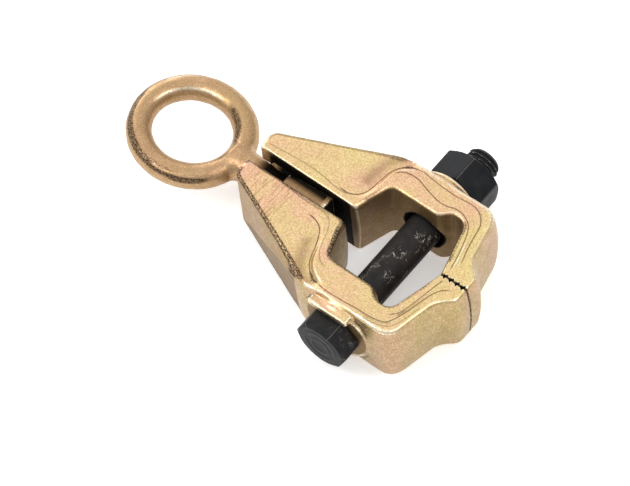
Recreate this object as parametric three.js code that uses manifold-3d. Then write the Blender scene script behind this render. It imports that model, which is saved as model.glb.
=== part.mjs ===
// Self-tightening pull clamp for sheet-metal and weld-fixture work.
// Two mirror-image forged jaws are drawn together by a cross bolt and a heavy nut. Their noses carry
// teeth. Their long rear wings are spread by the wedge head of a pull eye, which tightens the teeth.
// Millimetres, +Z up. X runs along the pull, towards the nose. Y runs along the bolt, towards its nut.
// Everything below is drawn with X = 0 on the bolt's axis, Y = 0 on the jaws' parting plane and Z = 0 on
// the face the clamp lies on. The whole group is then moved to the middle of its bounding box.
import * as THREE from 'three';
import { mergeVertices } from 'three/addons/utils/BufferGeometryUtils.js';
import Module from 'manifold-3d';

const wasm = await Module();
wasm.setup();

// ---- driving dimensions -------------------------------------------------------------------------
const GAP = 0.3; // clearance between faces that touch on the real clamp
const JAW_HEIGHT = 44; // thickness of a jaw, across its two flat faces
const MID = JAW_HEIGHT / 2; // height of the bolt, the pull line and the forgings' parting line
const EDGE = 2.0; // height of the rounded edge round each flat face
const EDGE_INSET = 1.6; // how far that edge draws the flat face in
const DRAFT = 1.6; // how far the drafted sides stand out at the parting line

const TIP_X = -88.5; // rear end of the wings
const THROAT_REAR = -28; // where the wing slot opens into the throat
const NOSE_X = 48; // front of the nose
const SLOT_HALF = 4.5; // half of the slot between the wings
const SIDE_Y = 45.4; // outer side of the frame
const THROAT_Y = 25.8; // inner side of the throat at the bolt

const BOLT_D = 19.05; // three-quarter inch
const BOLT_LENGTH = 127; // under the head
const PITCH = 2.54; // ten threads per inch
const THREAD_DEPTH = 1.35;
const THREAD_TURNS = 17;
const HEAD_AF = 28.58;
const HEAD_HEIGHT = 11.9;
const HEAD_TURN = -7; // degrees, how far the head's upper flat leans to the rear
const NUT_AF = 31.75;
const NUT_HEIGHT = 18.65;
const NUT_TURN = 37; // degrees, from a flat facing up
const HOLE_R = BOLT_D / 2 + 0.8;
const HOLE_MOUTH_R = 12.3;
const HOLE_MOUTH_DEPTH = 8;

const BOSS_R = 20.5; // round seat for the bolt's head and for the nut
const BOSS_Y = 48.7; // its crown
const BOSS_CROWN_R = 80; // its crown is part of an upright cylinder, so that a jaw can rock on it
const LEDGE = { rear: -14.5, front: 10, y: 51.3, low: 37.7, high: 41.8 }; // stops the head turning

const TOOTH_COUNT = 4;
const TOOTH_PITCH = 3.7;
const TOOTH_DEPTH = 1.7;
const TOOTH_FIRST = 32.4; // rear end of the first notch

const RING_LONG = 29.5; // half axes of the ring's centreline
const RING_WIDE = 26.4;
const RING_WIRE_R = 6.9;
const RING_X = -134.4; // its centre
const WEDGE = { rear: -71, front: -43.3, rearHalf: 4.0, frontHalf: 5.6, low: 7, high: 37 };
const POCKET = { rear: -83.6, front: -36, rearHalf: 6.7, frontHalf: 7.7, low: 4, high: 40 };
const BORE = { r: 10.8, rear: -100, front: -66 }; // round passage for the shank, from the wing tips

const GOLD = { color: 0xc9a268, roughness: 0.42, metalness: 0.85 };
const BLACK = { color: 0x1d1f22, roughness: 0.5, metalness: 0.6 };

// ---- solids -------------------------------------------------------------------------------------
// Turns a closed three.js geometry into a manifold solid.
function solidOf(geometry) {
  const bare = geometry.index ? geometry.clone() : geometry;
  bare.deleteAttribute('normal');
  bare.deleteAttribute('uv');
  const merged = mergeVertices(bare, 1e-5);
  return new wasm.Manifold(new wasm.Mesh({
    numProp: 3,
    vertProperties: new Float32Array(merged.attributes.position.array),
    triVerts: new Uint32Array(merged.index.array),
  }));
}

// Turns a manifold solid back into a three.js geometry.
function geometryOf(solid) {
  const { vertProperties, triVerts } = solid.getMesh();
  const geometry = new THREE.BufferGeometry();
  geometry.setAttribute('position', new THREE.BufferAttribute(new Float32Array(vertProperties), 3));
  geometry.setIndex(new THREE.BufferAttribute(new Uint32Array(triVerts), 1));
  return geometry;
}

// A copy mirrored in the parting plane, with its faces turned to point out again.
function mirroredInY(geometry) {
  const copy = geometry.clone().scale(1, -1, 1);
  const index = copy.index.array;
  for (let i = 0; i < index.length; i += 3) {
    [index[i], index[i + 1]] = [index[i + 1], index[i]];
  }
  return copy;
}

// A box given by its low and high corners.
function block(low, high) {
  const size = high.map((value, axis) => value - low[axis]);
  const centre = high.map((value, axis) => (value + low[axis]) / 2);
  return solidOf(new THREE.BoxGeometry(...size).translate(...centre));
}

// A body of revolution about Y, from a list of [radius, y] pairs that starts and ends on the axis.
function turnedAboutY(profile, segments) {
  const points = profile.map(([radius, y]) => new THREE.Vector2(radius, y));
  return new THREE.LatheGeometry(points, segments);
}

// A flat outline extruded upwards from one height to another.
function upright(points, low, high) {
  const shape = new THREE.Shape(points.map(([x, y]) => new THREE.Vector2(x, y)));
  const options = { depth: high - low, bevelEnabled: false };
  return solidOf(new THREE.ExtrudeGeometry(shape, options).translate(0, 0, low));
}

// Moves every point of a closed counter-clockwise outline outwards by the same distance.
function offsetOutline(points, distance) {
  return points.map((point, i) => {
    const before = points[(i + points.length - 1) % points.length];
    const after = points[(i + 1) % points.length];
    const inward = new THREE.Vector2().subVectors(point, before).normalize();
    const outward = new THREE.Vector2().subVectors(after, point).normalize();
    const along = new THREE.Vector2().addVectors(inward, outward).normalize();
    const normal = new THREE.Vector2(along.y, -along.x);
    const stretch = Math.max(0.6, normal.dot(new THREE.Vector2(inward.y, -inward.x)));
    return point.clone().addScaledVector(normal, distance / stretch);
  });
}

// A forged body: one outline stacked at several heights, moved out or in at each.
function forged(outline, levels) {
  const count = outline.length;
  const rings = levels.map(([, distance]) => offsetOutline(outline, distance));
  const positions = [];
  rings.forEach((ring, k) => ring.forEach((p) => positions.push(p.x, p.y, levels[k][0])));
  const index = [];
  for (let k = 0; k + 1 < levels.length; k++) {
    for (let i = 0; i < count; i++) {
      const a = k * count + i;
      const b = k * count + (i + 1) % count;
      index.push(a, b, b + count, a, b + count, a + count);
    }
  }
  const top = (levels.length - 1) * count;
  for (const [a, b, c] of THREE.ShapeUtils.triangulateShape(rings[0], [])) {
    index.push(a, c, b);
  }
  for (const [a, b, c] of THREE.ShapeUtils.triangulateShape(rings[levels.length - 1], [])) {
    index.push(top + a, top + b, top + c);
  }
  const geometry = new THREE.BufferGeometry();
  geometry.setAttribute('position', new THREE.Float32BufferAttribute(positions, 3));
  geometry.setIndex(index);
  return solidOf(geometry);
}

// ---- the jaw forging ----------------------------------------------------------------------------
// Plan outline of the nut-side jaw, counter-clockwise, from the slot's rear end round the throat.
function jawOutline() {
  const path = new THREE.Path();
  path.moveTo(TIP_X, SLOT_HALF);
  path.lineTo(THROAT_REAR - 2, SLOT_HALF);
  path.quadraticCurveTo(THROAT_REAR + 0.4, SLOT_HALF, THROAT_REAR + 1.1, SLOT_HALF + 2.5);
  path.lineTo(-21.6, 22.2);
  path.quadraticCurveTo(-20.4, THROAT_Y, -16.6, THROAT_Y);
  path.lineTo(6.5, THROAT_Y);
  path.bezierCurveTo(12, THROAT_Y, 11.5, 31.3, 17.5, 31.3);
  path.quadraticCurveTo(22.8, 31.3, 24.2, 26.6);
  path.lineTo(31.2, 0);
  path.lineTo(31.2, -3);
  path.lineTo(NOSE_X, -3);
  path.lineTo(NOSE_X, 5.6);
  path.quadraticCurveTo(NOSE_X, 8.6, 45.8, 10.4);
  path.quadraticCurveTo(40.2, 14.6, 38.9, 19);
  path.lineTo(35, 37);
  path.quadraticCurveTo(33.2, SIDE_Y, 25, SIDE_Y);
  path.lineTo(-20, SIDE_Y);
  path.quadraticCurveTo(-23.4, SIDE_Y, -29, 42.3);
  path.lineTo(-84.6, 18.2);
  path.quadraticCurveTo(-88.6, 16.4, -89.2, 12.4);
  path.lineTo(-89.3, 9.4);
  const points = path.getPoints(5);
  return points.filter((point, i) => i === 0 || point.distanceTo(points[i - 1]) > 0.05);
}

// The round seat outside the bolt hole, with its slightly convex crown.
function boss() {
  const disc = new THREE.CylinderGeometry(BOSS_R, BOSS_R, 12, 48).translate(0, BOSS_Y - 6, MID);
  const crown = new THREE.CylinderGeometry(BOSS_CROWN_R, BOSS_CROWN_R, JAW_HEIGHT, 144);
  crown.rotateX(Math.PI / 2).translate(0, BOSS_Y - BOSS_CROWN_R, MID);
  return solidOf(disc).intersect(solidOf(crown));
}

// The bolt's passage through one jaw, flared where it meets the throat.
function boltPassage() {
  const mouth = THROAT_Y - DRAFT;
  const profile = [
    [0, mouth - 8], [HOLE_MOUTH_R, mouth - 8], [HOLE_MOUTH_R, mouth + 1],
    [HOLE_R, mouth + HOLE_MOUTH_DEPTH], [HOLE_R, BOSS_Y + 8], [0, BOSS_Y + 8],
  ];
  return solidOf(turnedAboutY(profile, 36).translate(0, 0, MID));
}

// Notches across the mating face of the nose. Each has one long flank and one steep flank.
function toothNotches() {
  let notches = null;
  for (let i = 0; i < TOOTH_COUNT; i++) {
    const x = TOOTH_FIRST + i * TOOTH_PITCH;
    const triangle = [[x, -0.5], [x + TOOTH_PITCH * 0.86, -0.5], [x + TOOTH_PITCH * 0.7, TOOTH_DEPTH]];
    const notch = upright(triangle, -1, JAW_HEIGHT + 1);
    notches = notches ? notches.add(notch) : notch;
  }
  return notches;
}

// Half of the pocket for the wedge head, and half of the passage for the shank behind it.
function eyePocket() {
  const plan = [
    [POCKET.rear, -1], [POCKET.front, -1], [POCKET.front, POCKET.frontHalf],
    [POCKET.rear, POCKET.rearHalf],
  ];
  const bore = new THREE.CylinderGeometry(BORE.r, BORE.r, BORE.front - BORE.rear, 32);
  bore.rotateZ(Math.PI / 2).translate((BORE.front + BORE.rear) / 2, 0, MID);
  return upright(plan, POCKET.low, POCKET.high).add(solidOf(bore));
}

function jawGeometry(withLedge) {
  const levels = [
    [0, -EDGE_INSET], [EDGE * 0.3, -EDGE_INSET * 0.4], [EDGE, 0], [MID, DRAFT],
    [JAW_HEIGHT - EDGE, 0], [JAW_HEIGHT - EDGE * 0.3, -EDGE_INSET * 0.4], [JAW_HEIGHT, -EDGE_INSET],
  ];
  let jaw = forged(jawOutline(), levels);
  jaw = jaw.subtract(block([-100, -20, -1], [60, GAP / 2, JAW_HEIGHT + 1]));
  jaw = jaw.subtract(block([-100, -20, -1], [THROAT_REAR + 3, SLOT_HALF, JAW_HEIGHT + 1]));
  jaw = jaw.add(boss());
  if (withLedge) {
    jaw = jaw.add(block([LEDGE.rear, SIDE_Y - 6, LEDGE.low], [LEDGE.front, LEDGE.y, LEDGE.high]));
  }
  jaw = jaw.subtract(boltPassage());
  jaw = jaw.subtract(toothNotches());
  jaw = jaw.subtract(eyePocket());
  return geometryOf(jaw);
}

// ---- the pull eye -------------------------------------------------------------------------------
// A round ring whose centreline is stretched to an oval, without thinning the wire.
function ringGeometry() {
  const ring = new THREE.TorusGeometry(RING_LONG, RING_WIRE_R, 16, 48);
  const position = ring.attributes.position;
  for (let i = 0; i < position.count; i++) {
    const angle = Math.atan2(position.getY(i), position.getX(i));
    position.setY(i, position.getY(i) + (RING_WIDE - RING_LONG) * Math.sin(angle));
  }
  return ring.translate(RING_X, 0, MID);
}

// Neck and shank, turned about the pull line from the ring's wire to the middle of the wedge head.
function shankGeometry() {
  const start = RING_X + RING_LONG;
  const profile = [
    [0, start - 3], [9.5, start - 3], [10.4, start + 3], [9.6, -97.5], [9.0, -92.5], [8.2, -88.6],
    [7.5, -82], [7.5, WEDGE.rear + 2], [4, WEDGE.rear + 8], [0, WEDGE.rear + 8],
  ];
  return turnedAboutY(profile, 32).rotateZ(-Math.PI / 2).translate(0, 0, MID);
}

// The wedge head: wider at the front, with bevelled corners.
function wedgeGeometry() {
  const bevel = 1.2;
  const corners = [
    [WEDGE.rear + bevel, -WEDGE.rearHalf], [WEDGE.front - bevel, -WEDGE.frontHalf],
    [WEDGE.front, bevel - WEDGE.frontHalf], [WEDGE.front, WEDGE.frontHalf - bevel],
    [WEDGE.front - bevel, WEDGE.frontHalf], [WEDGE.rear + bevel, WEDGE.rearHalf],
    [WEDGE.rear, WEDGE.rearHalf - bevel], [WEDGE.rear, bevel - WEDGE.rearHalf],
  ];
  const outline = corners.map(([x, y]) => new THREE.Vector2(x, y));
  const levels = [
    [WEDGE.low, -1], [WEDGE.low + 1, 0], [WEDGE.high - 1, 0], [WEDGE.high, -1],
  ];
  return forged(outline, levels);
}

function eyeGeometry() {
  return geometryOf(solidOf(ringGeometry()).add(solidOf(shankGeometry())).add(wedgeGeometry()));
}

// ---- fasteners ----------------------------------------------------------------------------------
// A hexagonal prism along Y with its corners chamfered at the ends that are asked for.
function hexagon(acrossFlats, low, high, turn, chamferLow, chamferHigh) {
  const cornerR = acrossFlats / Math.sqrt(3);
  const flatR = acrossFlats / 2;
  const drop = (cornerR - flatR) * Math.tan(Math.PI / 6);
  const prism = new THREE.CylinderGeometry(cornerR, cornerR, high - low, 6);
  prism.rotateY(THREE.MathUtils.degToRad(turn)).translate(0, (low + high) / 2, 0);
  const lowR = chamferLow ? flatR * 0.97 : cornerR + 1;
  const highR = chamferHigh ? flatR * 0.97 : cornerR + 1;
  const profile = [
    [0, low], [lowR, low], [cornerR + 0.4, low + drop + 0.3],
    [cornerR + 0.4, high - drop - 0.3], [highR, high], [0, high],
  ];
  return solidOf(prism).intersect(solidOf(turnedAboutY(profile, 48)));
}

const SEAT_Y = BOSS_Y + GAP; // where the head and the nut bear

function boltGeometry() {
  const radius = BOLT_D / 2;
  const end = BOLT_LENGTH - SEAT_Y;
  const profile = [[0, -SEAT_Y - 1], [radius, -SEAT_Y - 1]];
  const threadEnd = end - 2.2;
  for (let i = THREAD_TURNS; i > 0; i--) {
    const crest = threadEnd - i * PITCH;
    profile.push([radius, crest], [radius, crest + PITCH * 0.16]);
    profile.push([radius - THREAD_DEPTH, crest + PITCH * 0.58]);
  }
  profile.push([radius, threadEnd], [radius, threadEnd + 0.4], [radius - 1.6, end], [0, end]);
  const shank = solidOf(turnedAboutY(profile, 24));
  const head = hexagon(HEAD_AF, -SEAT_Y - HEAD_HEIGHT, -SEAT_Y, 30 + HEAD_TURN, true, false);
  return geometryOf(shank.add(head)).translate(0, 0, MID);
}

function nutGeometry() {
  const top = SEAT_Y + NUT_HEIGHT;
  const bore = [
    [0, SEAT_Y - 1], [BOLT_D / 2 + 1.6, SEAT_Y - 1], [BOLT_D / 2 + 1.6, SEAT_Y],
    [BOLT_D / 2 + GAP, SEAT_Y + 1.4], [BOLT_D / 2 + GAP, top - 1.4], [BOLT_D / 2 + 1.6, top],
    [BOLT_D / 2 + 1.6, top + 1], [0, top + 1],
  ];
  const body = hexagon(NUT_AF, SEAT_Y, top, 30 + NUT_TURN, true, true);
  return geometryOf(body.subtract(solidOf(turnedAboutY(bore, 32)))).translate(0, 0, MID);
}

// ---- the assembly -------------------------------------------------------------------------------
function part(name, geometry, finish) {
  geometry.computeVertexNormals();
  const mesh = new THREE.Mesh(geometry, new THREE.MeshStandardMaterial(finish));
  mesh.name = name;
  return mesh;
}

const clamp = new THREE.Group();
clamp.add(part('nut_side_jaw', jawGeometry(false), GOLD));
clamp.add(part('head_side_jaw', mirroredInY(jawGeometry(true)), GOLD));
clamp.add(part('cross_bolt', boltGeometry(), BLACK));
clamp.add(part('hex_nut', nutGeometry(), BLACK));
clamp.add(part('pull_eye', eyeGeometry(), GOLD));

// The origin is the middle of the bounding box, on the face the clamp lies on.
const ringEnd = RING_X - RING_LONG - RING_WIRE_R;
const noseEnd = NOSE_X + DRAFT;
const headEnd = -SEAT_Y - HEAD_HEIGHT;
const threadTip = BOLT_LENGTH - SEAT_Y;
clamp.position.set(-(ringEnd + noseEnd) / 2, -(headEnd + threadTip) / 2, 0);

export default clamp;
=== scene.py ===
"""Looks of a self-tightening pull clamp: forged jaws and pull eye in yellow zinc plate, bolt and nut in
black oxide. The forgings are solids described by distance fields and meshed here. Shapes are in
millimetres, with X = 0 on the bolt's axis, Y = 0 on the jaws' parting plane and Z = 0 on the underside,
and move into the frame's metres when a mesh is made."""

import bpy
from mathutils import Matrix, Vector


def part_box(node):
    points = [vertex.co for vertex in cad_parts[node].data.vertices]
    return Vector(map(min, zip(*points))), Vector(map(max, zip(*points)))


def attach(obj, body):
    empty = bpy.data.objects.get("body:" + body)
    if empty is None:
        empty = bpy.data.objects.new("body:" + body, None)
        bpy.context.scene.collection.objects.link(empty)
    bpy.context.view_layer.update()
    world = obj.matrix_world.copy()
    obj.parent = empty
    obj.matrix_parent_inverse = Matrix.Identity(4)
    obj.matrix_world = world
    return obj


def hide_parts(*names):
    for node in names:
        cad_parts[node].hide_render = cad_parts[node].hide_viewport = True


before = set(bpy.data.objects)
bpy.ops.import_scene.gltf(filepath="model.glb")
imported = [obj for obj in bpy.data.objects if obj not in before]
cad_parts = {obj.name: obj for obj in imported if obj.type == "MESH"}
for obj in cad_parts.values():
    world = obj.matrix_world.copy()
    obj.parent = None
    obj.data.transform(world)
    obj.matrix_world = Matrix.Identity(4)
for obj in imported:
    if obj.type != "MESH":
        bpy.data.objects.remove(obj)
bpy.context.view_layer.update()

import math

import bpy
import numpy as np
from mathutils import Matrix, Vector

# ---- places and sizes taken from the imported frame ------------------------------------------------
MM = 0.001
JAW_LOW, JAW_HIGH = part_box("nut_side_jaw")
HEAD_JAW_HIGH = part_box("head_side_jaw")[1]
BOLT_LOW, BOLT_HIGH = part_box("cross_bolt")
NUT_LOW, NUT_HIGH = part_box("hex_nut")
EYE_LOW, EYE_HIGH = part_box("pull_eye")
ORIGIN = np.array([
    (NUT_LOW.x + NUT_HIGH.x) / 2,
    (JAW_LOW.y + HEAD_JAW_HIGH.y) / 2,
    JAW_LOW.z,
])


def drawn(corner):
    """A corner of a CAD box in the drawing's millimetres."""
    return (np.array(corner) - ORIGIN) / MM


JAW_HEIGHT = drawn(JAW_HIGH)[2]
MID = JAW_HEIGHT / 2
GAP = 0.3
PARTING = GAP / 2

# ---- the jaw's dimensions ------------------------------------------------------------------------
EDGE_R = 1.7  # rounding round the flat faces
EDGE = 2.0  # the sides' draft starts this far from the flat faces
DRAFT = 1.6  # how far the drafted sides stand out at the forging's parting line
WING_DRAFT = 2.2
WING_RIDGE = 40.0  # height of the wing's ridge where it meets the frame
WING_RIDGE_TIP = 1.5  # and at the wing's tip
TIP_X = -90.0
THROAT_REAR = -28.0
NOSE_X = 48.0
SLOT_HALF = 4.5
SIDE_Y = 45.4
THROAT_Y = 25.8

BOLT_R = 19.05 / 2
HEAD_FLATS = 28.58
NUT_FLATS = 31.75
PITCH = 2.54
THREAD_DEPTH = 1.35
THREAD_TURNS = 17
HOLE_R = BOLT_R + 0.8
HOLE_MOUTH_R = 12.3
HOLE_FLARE = 8.0
BOSS_R = 20.5
BOSS_Y = 48.7
BOSS_CROWN_R = 80.0
SEAT_Y = BOSS_Y + GAP
LEDGE_MIDDLE = (-2.2, 44.3, 39.75)
LEDGE_HALF_SIZE = (12.3, 7.0, 2.05)
LEDGE_SCOOP_R = 9.0
NUT_SIDE_Y = drawn(NUT_HIGH)[1]
BOLT_FACE_Y = drawn(BOLT_LOW)[1]

TOOTH_COUNT = 4
TOOTH_PITCH = 3.7
TOOTH_DEPTH = 1.7
TOOTH_FIRST = 32.4
TOOTH_OFFSET = -0.7  # shift of the head-side jaw's teeth against the other jaw's

RING_LONG = 29.5
RING_WIDE = 26.4
RING_WIRE_R = 6.9
RING_X = drawn(EYE_LOW)[0] + RING_LONG + RING_WIRE_R
WEDGE_REAR = -71.0
WEDGE_FRONT = drawn(EYE_HIGH)[0]
WEDGE_HALF_HEIGHT = 15.0
NECK_X = RING_X + RING_LONG
SHANK_STATIONS = [NECK_X - 3, NECK_X + 3, -97.5, -92.5, -88.6, -82, WEDGE_REAR + 0.5, WEDGE_REAR + 5]
SHANK_RADII = [8.2, 9.0, 9.0, 8.8, 8.2, 7.5, 7.3, 4.5]

# Bands on the ring, painted highlights and painted shade that stand in for the light on the wire's
# flattened section: direction and half reach round it in degrees, tilt from outward to upward and beyond
# to inward, width in tilt, and strength, negative for painted shade laid on as dark grit, positive for a
# painted highlight.
RING_BANDS = [
    (-128, 92, 54, 19, -2.1),
    (-40, 38, 36, 12, -2.4),
    (-72, 36, 56, 8, 1.5),
    (135, 55, 42, 8, -0.9),
    (60, 50, 20, 10, -1.0),
    (25, 60, 122, 19, -1.5),
    (130, 70, 126, 10, 1.1),
    (150, 40, 60, 9, 1.0),
    (178, 45, 76, 8, 0.7),
]

# Plan outline of a jaw, from the slot's rear end round the throat: each stroke is the end of a
# straight line, or the control points and end of a curve.
JAW_STROKES = [
    [(TIP_X, SLOT_HALF)],
    [(THROAT_REAR - 2, SLOT_HALF)],
    [(THROAT_REAR + 0.4, SLOT_HALF), (THROAT_REAR + 1.1, SLOT_HALF + 2.5)],
    [(-21.6, 22.2)],
    [(-20.4, THROAT_Y), (-16.6, THROAT_Y)],
    [(6.5, THROAT_Y)],
    [(12, THROAT_Y), (11.5, 31.3), (17.5, 31.3)],
    [(22.8, 31.3), (24.2, 26.6)],
    [(31.2, 0)],
    [(31.2, -3)],
    [(NOSE_X, -3)],
    [(NOSE_X, 5.6)],
    [(NOSE_X, 8.6), (45.8, 10.4)],
    [(40.2, 14.6), (38.9, 19)],
    [(35, 37)],
    [(33.2, SIDE_Y), (25, SIDE_Y)],
    [(-20, SIDE_Y)],
    [(-23.4, SIDE_Y), (-29, 42.3)],
    [(-86.8, 17.5)],
    [(-90.2, 16.2), (-90.7, 12.6)],
    [(-90.8, 9.4)],
]

# Contour lines that the dies left on the flat faces. The valley runs in front of the wing plate.
HEAD_SIDE_RELIEF = {
    "valley": [(-45, 12.4), (-40, 12.8), (-35, 15.3), (-32.2, 19.6), (-29.8, 25.7), (-28.2, 31),
               (-26, 35), (-22.4, 38.3), (-17.6, 40.9), (-10, 42.4)],
    "outer": [(-17.6, 40.9), (-10, 42.4), (0, 42.2), (10, 41.4), (19, 41), (25.5, 39.4), (28.3, 36),
              (31, 29), (33, 21), (35, 13.2), (38.2, 7.5), (43, 4.6)],
    "slot": [(-87, 5.7), (-70, 6.0), (-50, 7.3), (-38, 7.3), (-32.8, 10), (-29.8, 16), (-28, 22),
             (-25.9, 26.6), (-22, 30.6), (-17, 32)],
    "throat": [(24.5, 35), (28.8, 30), (31.5, 19.3), (33, 11), (35, 2)],
    "corner": [(14, 43.4), (22, 42.9), (28, 40.6), (31.4, 36.5), (33.6, 29), (35.2, 21.5)],
}
NUT_SIDE_RELIEF = {
    "valley": [(-42, 9.8), (-37, 9.4), (-33, 10.8), (-29.9, 14), (-28.4, 19), (-27.9, 26),
               (-27.2, 32.5), (-24.3, 38.2), (-19, 41.7), (-12, 42)],
    "outer": [(-19, 41.7), (-12, 42), (-2.5, 41), (8.5, 40.4), (17.9, 41.2), (23.4, 40.5),
              (27.9, 37.5), (30.6, 33), (32, 26.2), (33.8, 18.2), (36.6, 9.2)],
    "slot": [(-89, 8.5), (-66, 10.2), (-53, 9.8), (-45, 8.6), (-37, 8.2)],
    "throat": [(-25, 31.2), (-22, 35.2), (-17.7, 37), (-11.5, 37), (-5, 35), (3.8, 32.9),
               (9, 32.9), (14, 34.3), (19, 34.1), (24, 31.6), (27, 28), (29.4, 22), (32.2, 12.2),
               (34, 3)],
}

LINE_STRENGTH = {"valley": 1.0, "outer": 0.85, "slot": 0.55, "throat": 0.9, "corner": 0.5}


# ---- distance fields -----------------------------------------------------------------------------
def round_max(a, b, r):
    """Intersection of two fields with a rounded edge."""
    return np.minimum(-r, np.maximum(a, b)) + np.hypot(np.maximum(a + r, 0), np.maximum(b + r, 0))


def round_min(a, b, r):
    """Union of two fields with a fillet."""
    return np.maximum(r, np.minimum(a, b)) - np.hypot(np.maximum(r - a, 0), np.maximum(r - b, 0))


def ramp(low, high, value):
    """A smooth step from 0 at low to 1 at high."""
    t = np.clip((value - low) / (high - low), 0, 1)
    return t * t * (3 - 2 * t)


def trace(strokes, steps=7):
    """The points of an outline made of straight and curved strokes."""
    points = [strokes[0][0]]
    for stroke in strokes[1:]:
        controls = np.array([points[-1], *stroke], float)
        count = 1 if len(stroke) == 1 else steps
        for t in np.arange(1, count + 1) / count:
            curve = controls
            while len(curve) > 1:
                curve = curve[:-1] * (1 - t) + curve[1:] * t
            points.append(tuple(curve[0]))
    return np.array(points)


def smooth_line(knots, steps=5):
    """A smooth curve through a few knots."""
    k = np.array([knots[0], *knots, knots[-1]], float)
    points = []
    for i in range(1, len(k) - 2):
        for t in np.arange(steps) / steps:
            a = 2 * k[i]
            b = k[i + 1] - k[i - 1]
            c = 2 * k[i - 1] - 5 * k[i] + 4 * k[i + 1] - k[i + 2]
            d = 3 * k[i] - k[i - 1] - 3 * k[i + 1] + k[i + 2]
            points.append((a + b * t + c * t * t + d * t ** 3) / 2)
    points.append(k[-1])
    return np.array(points)


def outline_distance(corners, x, y):
    """Signed distance in plan from a closed outline, negative inside."""
    nearest = np.full(np.broadcast(x, y).shape, np.inf)
    inside = np.zeros(nearest.shape, bool)
    for (ax, ay), (bx, by) in zip(corners, np.roll(corners, -1, axis=0)):
        ex, ey = bx - ax, by - ay
        px, py = x - ax, y - ay
        along = np.clip((px * ex + py * ey) / (ex * ex + ey * ey), 0, 1)
        nearest = np.minimum(nearest, (px - along * ex) ** 2 + (py - along * ey) ** 2)
        if ey:
            inside ^= ((ay > y) != (by > y)) & (px < py * ex / ey)
    return np.sqrt(nearest) * np.where(inside, -1, 1)


def line_distance(points, x, y):
    """Signed distance in plan from an open line, positive on its left, and place along it, 0 to 1."""
    nearest = np.full(np.broadcast(x, y).shape, np.inf)
    side = np.ones(nearest.shape)
    place = np.zeros(nearest.shape)
    lengths = np.hypot(*(points[1:] - points[:-1]).T)
    start = 0.0
    for (ax, ay), (bx, by), length in zip(points[:-1], points[1:], lengths):
        ex, ey = bx - ax, by - ay
        px, py = x - ax, y - ay
        along = np.clip((px * ex + py * ey) / (ex * ex + ey * ey), 0, 1)
        square = (px - along * ex) ** 2 + (py - along * ey) ** 2
        closer = square < nearest
        nearest = np.where(closer, square, nearest)
        side = np.where(closer, np.where(ex * py - ey * px >= 0, 1.0, -1.0), side)
        place = np.where(closer, (start + along * length) / lengths.sum(), place)
        start += length
    return np.sqrt(nearest) * side, place


def ends_fade(place, share=0.12):
    """1 along a line, falling to 0 at both its ends."""
    return ramp(0, share, place) * ramp(0, share, 1 - place)


def ledge_of_line(distance, place, rise, width, reach):
    """A step of that rise at a line, which dies away on both sides."""
    return rise * np.tanh(distance / width) * np.exp(-np.abs(distance) / reach) * ends_fade(place)


class Relief:
    """How deep the flat face lies below the jaw's full height, in plan."""

    def __init__(self, lines):
        self.lines = {name: smooth_line(knots) for name, knots in lines.items()}

    def depth(self, x, y):
        distance, place = line_distance(self.lines["valley"], x, y)
        deep = (0.35 + 1.9 * ramp(0.12, 0.62, place)) * ramp(0, 0.1, place) * ramp(0, 0.2, 1 - place)
        reach = 9 + 4 * ramp(0.2, 0.7, place)
        on_plate = 1 - ramp(0, 1, distance / reach)
        on_frame = 1 - ramp(0, 1, -distance / 2.6)
        total = deep * np.where(distance > 0, on_plate, on_frame)
        distance, place = line_distance(self.lines["outer"], x, y)
        total = total + 0.25 + ledge_of_line(distance, place, 0.12, 0.35, 5)
        distance, place = line_distance(self.lines["slot"], x, y)
        total = total + ledge_of_line(distance, place, 0.10, 0.35, 6)
        distance, place = line_distance(self.lines["throat"], x, y)
        total = total - ledge_of_line(distance, place, 0.10, 0.35, 3.5)
        return total

    def streak(self, name, x, y, offset, width, start, end):
        """A soft streak beside part of a line, at that offset from it."""
        distance, place = line_distance(self.lines[name], x, y)
        window = ramp(start, start + 0.1, place) * ramp(end, end - 0.08, place)
        return window * np.exp(-((distance - offset) / width) ** 2)

    def contour(self, x, y):
        """Signed distance to the nearest contour line, positive on its left, and its strength."""
        nearest = np.full(x.shape, 9.0)
        strength = np.zeros(x.shape)
        for name, points in self.lines.items():
            distance, place = line_distance(points, x, y)
            closer = np.abs(distance) < np.abs(nearest)
            nearest = np.where(closer, distance, nearest)
            strength = np.where(closer, LINE_STRENGTH[name] * ends_fade(place, 0.05), strength)
        return nearest, strength


JAW_OUTLINE = trace(JAW_STROKES)
POCKET_PLAN = np.array([(-83.6, -1), (-36, -1), (-36, 7.7), (-83.6, 6.7)])
POCKET_HALF_HEIGHT = 18.0
BORE_R = 10.8
BORE_FRONT = -66.0


def wing_run(x):
    """Place along the wing, 0 at its tip and 1 at the frame."""
    return np.clip((x - TIP_X) / (THROAT_REAR - TIP_X), 0, 1)


def wing_ridge(x):
    """Height of the ridge on the wing's outer side, which climbs towards the frame."""
    return WING_RIDGE_TIP + (WING_RIDGE - WING_RIDGE_TIP) * (1 - (1 - wing_run(x)) ** 1.5)


def draft(x, z):
    """How far the sides stand out: most at mid-height on the frame and at the ridge on the wing."""
    frame_part = DRAFT * (1 - ((z - MID) / (MID - EDGE)) ** 2)
    ridge = wing_ridge(x)
    tent = np.minimum(z / ridge, (JAW_HEIGHT - z) / (JAW_HEIGHT - ridge))
    wing_part = WING_DRAFT * ramp(0, 0.6, wing_run(x)) * np.clip(tent, -0.1, 1)
    return wing_part + (frame_part - wing_part) * ramp(THROAT_REAR - 4, THROAT_REAR + 6, x)


def boss_field(x, y, z):
    """The crowned disc under the head or the nut."""
    from_axis = np.hypot(x, z - MID)
    crown = y - (BOSS_Y - BOSS_CROWN_R + np.sqrt(BOSS_CROWN_R ** 2 - np.minimum(x * x, 2500)))
    disc = round_max(from_axis - BOSS_R, crown, 1.1)
    return np.maximum(disc, SIDE_Y - 8 - y)


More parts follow.
